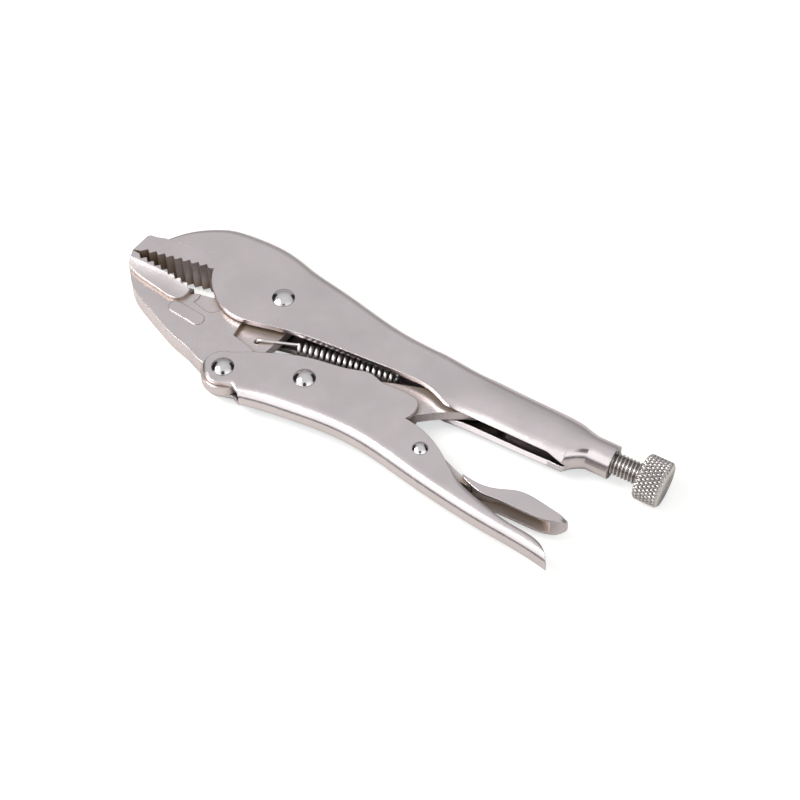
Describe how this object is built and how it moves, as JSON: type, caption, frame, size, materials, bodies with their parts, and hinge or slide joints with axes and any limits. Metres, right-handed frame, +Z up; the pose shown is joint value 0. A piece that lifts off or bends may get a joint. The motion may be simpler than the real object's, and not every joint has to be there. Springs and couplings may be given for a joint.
{
  "type": "locking pliers",
  "caption": "Locking pliers with straight toothed jaws, a bent-sheet fixed handle, toggle-linked moving handle, release lever, tension spring and knurled adjusting screw.",
  "frame": {"origin": "on the ground under the middle of the tool's box, with the tool lying on its side", "axes": "+X from the jaws to the adjusting screw, +Y from the moving handle to the fixed handle, +Z up through the thickness of the tool"},
  "size_m": [0.2519, 0.0858, 0.0196],
  "materials": {
    "satin_nickel": "satin nickel plate over pressed and forged steel",
    "screw_steel": "bright nickel plate, knurled and threaded",
    "spring_steel": "bright plated spring wire",
    "rivet_chrome": "polished domed rivet heads"
  },
  "bodies": {
    "fixed_handle": {"fixed_handle": "satin_nickel", "upper_jaw": "satin_nickel", "jaw_pivot_rivet": "rivet_chrome", "tension_spring": "spring_steel"},
    "lower_jaw": {"lower_jaw": "satin_nickel"},
    "moving_handle": {"moving_handle": "satin_nickel", "handle_pivot_rivet": "rivet_chrome", "link_pivot_rivet": "rivet_chrome", "lever_pivot_rivet": "rivet_chrome"},
    "toggle_link": {"toggle_link": "satin_nickel"},
    "release_lever": {"release_lever": "satin_nickel"},
    "adjusting_screw": {"adjusting_screw": "screw_steel"},
    "knurled_knob": {"knurled_knob": "screw_steel"}
  },
  "joints": [
    {"name": "jaw_pivot", "type": "hinge", "parent": "fixed_handle", "child": "lower_jaw", "pos_m": [-0.0546, 0.0169, 0.0098], "axis": [0, 0, 1], "range_deg": [0, 20], "deforming": ["tension_spring"]},
    {"name": "handle_pivot", "type": "hinge", "parent": "lower_jaw", "child": "moving_handle", "pos_m": [-0.058, -0.0253, 0.0098], "axis": [0, 0, 1], "range_deg": [-64, 0]},
    {"name": "link_pivot", "type": "hinge", "parent": "moving_handle", "child": "toggle_link", "pos_m": [-0.0254, -0.0135, 0.0098], "axis": [0, 0, 1], "range_deg": [0, 64]},
    {"name": "release_lever_pivot", "type": "hinge", "parent": "moving_handle", "child": "release_lever", "pos_m": [0.0336, -0.0206, 0.0098], "axis": [0, 0, 1], "range_deg": [-5, 0]},
    {"name": "screw_slide", "type": "slide", "parent": "fixed_handle", "child": "adjusting_screw", "axis": [1, 0, 0], "range_m": [-0.003, 0.015]},
    {"name": "knob_turn", "type": "hinge", "parent": "adjusting_screw", "child": "knurled_knob", "pos_m": [0.1176, 0.0154, 0.0098], "axis": [1, 0, 0], "range_deg": [-681, 3402]}
  ],
  "couplings": [
    {"joint": "handle_pivot", "follows": "jaw_pivot", "ratio": -3.175},
    {"joint": "link_pivot", "follows": "jaw_pivot", "ratio": 3.16},
    {"joint": "knob_turn", "follows": "screw_slide", "rad_per_m": 3957.9}
  ]
}
